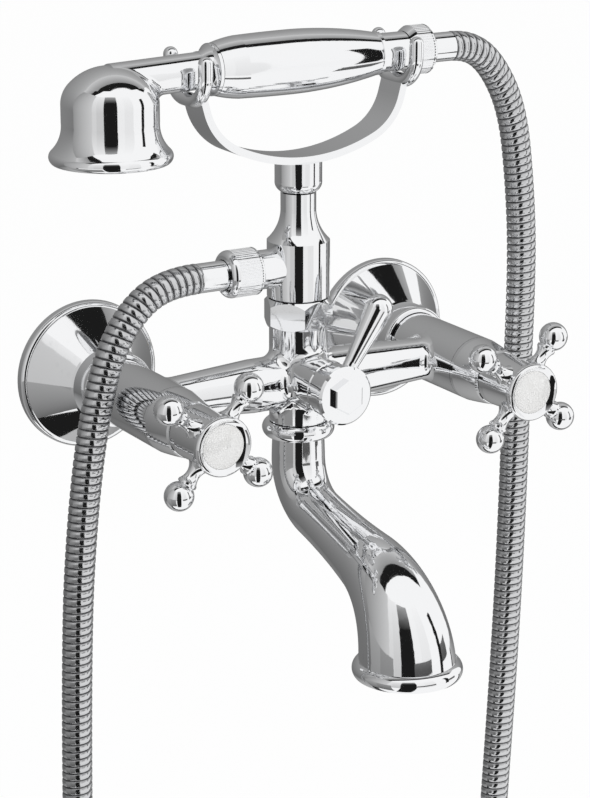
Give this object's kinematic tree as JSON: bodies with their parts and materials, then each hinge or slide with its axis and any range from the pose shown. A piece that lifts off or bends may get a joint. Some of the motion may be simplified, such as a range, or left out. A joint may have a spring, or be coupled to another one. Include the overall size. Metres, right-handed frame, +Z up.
{
  "type": "bath mixer",
  "caption": "Wall-mounted bath and shower mixer with cross handles, a swan spout, a lever diverter, a handset in a forked cradle and a hanging spiral hose.",
  "frame": {"origin": "on the wall face, midway between the two water inlets", "axes": "+X to the user's right, +Y into the wall, +Z up"},
  "size_m": [0.2571, 0.1823, 0.6991],
  "materials": {
    "polished_chrome": "mirror polished",
    "hose_chrome": "polished spiral",
    "raw_brass": "machined",
    "ceramic": "lapped",
    "index_enamel": "glazed",
    "rubber_seal": "matte",
    "screw_steel": "plain",
    "inner_tube": "plain"
  },
  "bodies": {
    "mixer": {"cold_ceramic_seat": "ceramic", "cold_inlet_washer": "rubber_seal", "cold_union_nut": "polished_chrome", "cold_valve_bonnet": "raw_brass", "cold_valve_seal": "rubber_seal", "cold_valve_shroud": "polished_chrome", "cold_wall_rose": "polished_chrome", "cold_wall_union": "raw_brass", "cradle": "polished_chrome", "cradle_grub_screw": "screw_steel", "diverter_sleeve": "polished_chrome", "hot_ceramic_seat": "ceramic", "hot_inlet_washer": "rubber_seal", "hot_union_nut": "polished_chrome", "hot_valve_bonnet": "raw_brass", "hot_valve_seal": "rubber_seal", "hot_valve_shroud": "polished_chrome", "hot_wall_rose": "polished_chrome", "hot_wall_union": "raw_brass", "mixer_body": "polished_chrome", "outlet_ferrule": "polished_chrome", "outlet_hose_nut": "polished_chrome", "outlet_hose_washer": "rubber_seal", "riser_column": "polished_chrome", "riser_nut": "polished_chrome", "riser_washer": "rubber_seal", "shower_hose": "hose_chrome", "spout": "polished_chrome", "spout_o_ring": "rubber_seal", "spout_ring": "polished_chrome"},
    "hot_handle": {"hot_valve_spindle": "raw_brass", "hot_ceramic_disc": "ceramic", "hot_handle_hub": "polished_chrome", "hot_handle_arms": "polished_chrome", "hot_handle_screw": "screw_steel", "hot_index_ring": "polished_chrome", "hot_index_disc": "index_enamel"},
    "cold_handle": {"cold_valve_spindle": "raw_brass", "cold_ceramic_disc": "ceramic", "cold_handle_hub": "polished_chrome", "cold_handle_arms": "polished_chrome", "cold_handle_screw": "screw_steel", "cold_index_ring": "polished_chrome", "cold_index_disc": "index_enamel"},
    "diverter": {"diverter_spindle": "raw_brass", "diverter_o_ring": "rubber_seal", "diverter_lever": "polished_chrome", "diverter_cap": "polished_chrome"},
    "handset": {"handset_ferrule": "polished_chrome", "handset_hose_nut": "polished_chrome", "handset_hose_washer": "rubber_seal", "handset_tail": "polished_chrome", "handset_tube": "inner_tube", "handset_grip": "polished_chrome", "handset_head": "polished_chrome", "spray_seal": "rubber_seal", "spray_plate": "polished_chrome", "spray_plate_screw": "screw_steel"}
  },
  "joints": [
    {"name": "hot_handle_turn", "type": "hinge", "parent": "mixer", "child": "hot_handle", "pos_m": [-0.075, -0.1, 0], "axis": [0, -1, 0], "range_deg": [0, 90]},
    {"name": "cold_handle_turn", "type": "hinge", "parent": "mixer", "child": "cold_handle", "pos_m": [0.075, -0.1, 0], "axis": [0, 1, 0], "range_deg": [0, 90]},
    {"name": "diverter_turn", "type": "hinge", "parent": "mixer", "child": "diverter", "pos_m": [0, -0.088, 0.002], "axis": [0, -1, 0], "range_deg": [0, 61]},
    {"name": "handset_lift", "type": "slide", "parent": "mixer", "child": "handset", "axis": [0, 0, 1], "range_m": [0, 0.06], "deforming": ["shower_hose"]}
  ]
}
